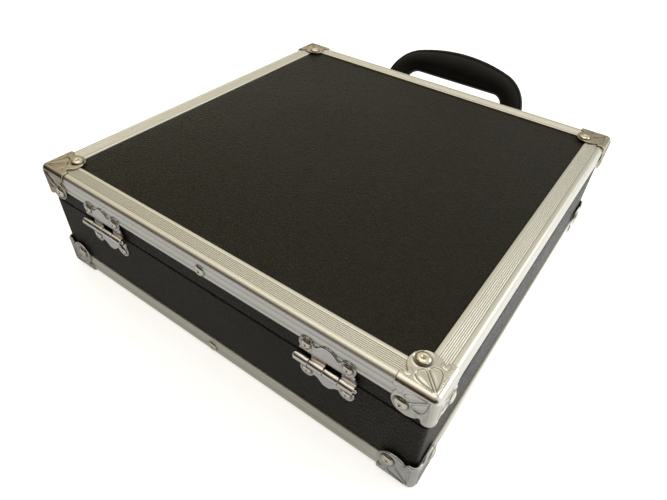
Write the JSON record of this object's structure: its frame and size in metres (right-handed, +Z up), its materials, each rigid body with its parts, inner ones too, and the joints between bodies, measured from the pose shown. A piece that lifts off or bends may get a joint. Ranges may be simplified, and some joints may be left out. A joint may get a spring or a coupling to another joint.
{
  "type": "poker chip case",
  "caption": "Square leatherette-covered chip case with ribbed aluminium edge trims, lobed steel corner caps, butterfly hinges, flap latches, a swinging handle and a chip tray",
  "frame": {"origin": "middle of the overall outline, raised handle included, on the surface that the bottom corner caps stand on", "axes": "+Z up; +Y towards the hinge side; -Y towards the front with the handle and latches; X along the hinge axis"},
  "size_m": [0.2974, 0.345, 0.0993],
  "materials": {
    "leatherette": "black-brown embossed leatherette, satin",
    "trim_aluminium": "extruded and lightly brushed, fine grooves along one flange",
    "cap_steel": "nickel-plated pressed steel",
    "fastener_steel": "nickel-plated",
    "hinge_steel": "nickel-plated pressed steel",
    "latch_steel": "nickel-plated pressed steel",
    "bracket_steel": "nickel-plated",
    "handle_plastic": "smooth black moulding",
    "board": "fibreboard, hidden by the covering",
    "lining": "black cloth-covered card",
    "flocked_tray": "black flocked insert",
    "pad_cloth": "black cloth over foam"
  },
  "bodies": {
    "base": {"base_back_board": "board", "base_cap_back_left": "cap_steel", "base_cap_back_right": "cap_steel", "base_cap_front_left": "cap_steel", "base_cap_front_right": "cap_steel", "base_corner_nails": "fastener_steel", "base_floor_board": "board", "base_foot_nails": "fastener_steel", "base_front_board": "board", "base_hinge_rivets": "fastener_steel", "base_latch_rivets": "fastener_steel", "base_leatherette": "leatherette", "base_left_board": "board", "base_liner": "lining", "base_right_board": "board", "base_trim_back": "trim_aluminium", "base_trim_front": "trim_aluminium", "base_trim_left": "trim_aluminium", "base_trim_nails": "fastener_steel", "base_trim_right": "trim_aluminium", "card_tray": "flocked_tray", "chip_rack": "flocked_tray", "handle_bracket_left": "bracket_steel", "handle_bracket_right": "bracket_steel", "handle_bracket_rivets": "fastener_steel", "handle_pins": "fastener_steel", "hinge_left_base_leaf": "hinge_steel", "hinge_left_pin": "fastener_steel", "hinge_right_base_leaf": "hinge_steel", "hinge_right_pin": "fastener_steel", "latch_left_keeper": "latch_steel", "latch_right_keeper": "latch_steel"},
    "lid": {"hinge_left_lid_leaf": "hinge_steel", "hinge_right_lid_leaf": "hinge_steel", "latch_left_pin": "fastener_steel", "latch_left_plate": "latch_steel", "latch_right_pin": "fastener_steel", "latch_right_plate": "latch_steel", "lid_back_board": "board", "lid_cap_back_left": "cap_steel", "lid_cap_back_right": "cap_steel", "lid_cap_front_left": "cap_steel", "lid_cap_front_right": "cap_steel", "lid_corner_nails": "fastener_steel", "lid_front_board": "board", "lid_hinge_rivets": "fastener_steel", "lid_latch_rivets": "fastener_steel", "lid_leatherette": "leatherette", "lid_left_board": "board", "lid_pad": "pad_cloth", "lid_right_board": "board", "lid_top_board": "board", "lid_trim_back": "trim_aluminium", "lid_trim_front": "trim_aluminium", "lid_trim_left": "trim_aluminium", "lid_trim_nails": "fastener_steel", "lid_trim_right": "trim_aluminium"},
    "handle": {"handle_grip": "handle_plastic"},
    "latch_left": {"latch_left_flap": "latch_steel"},
    "latch_right": {"latch_right_flap": "latch_steel"}
  },
  "joints": [
    {"name": "lid_hinge", "type": "hinge", "parent": "base", "child": "lid", "pos_m": [0, 0.16985, 0.0592], "axis": [-1, 0, 0], "range_deg": [0, 180]},
    {"name": "handle_swing", "type": "hinge", "parent": "base", "child": "handle", "pos_m": [0, -0.13275, 0.042], "axis": [1, 0, 0], "range_deg": [-30, 147]},
    {"name": "latch_left_flap", "type": "hinge", "parent": "lid", "child": "latch_left", "pos_m": [-0.1, -0.12635, 0.067], "axis": [-1, 0, 0], "range_deg": [0, 150]},
    {"name": "latch_right_flap", "type": "hinge", "parent": "lid", "child": "latch_right", "pos_m": [0.1, -0.12635, 0.067], "axis": [-1, 0, 0], "range_deg": [0, 150]}
  ]
}
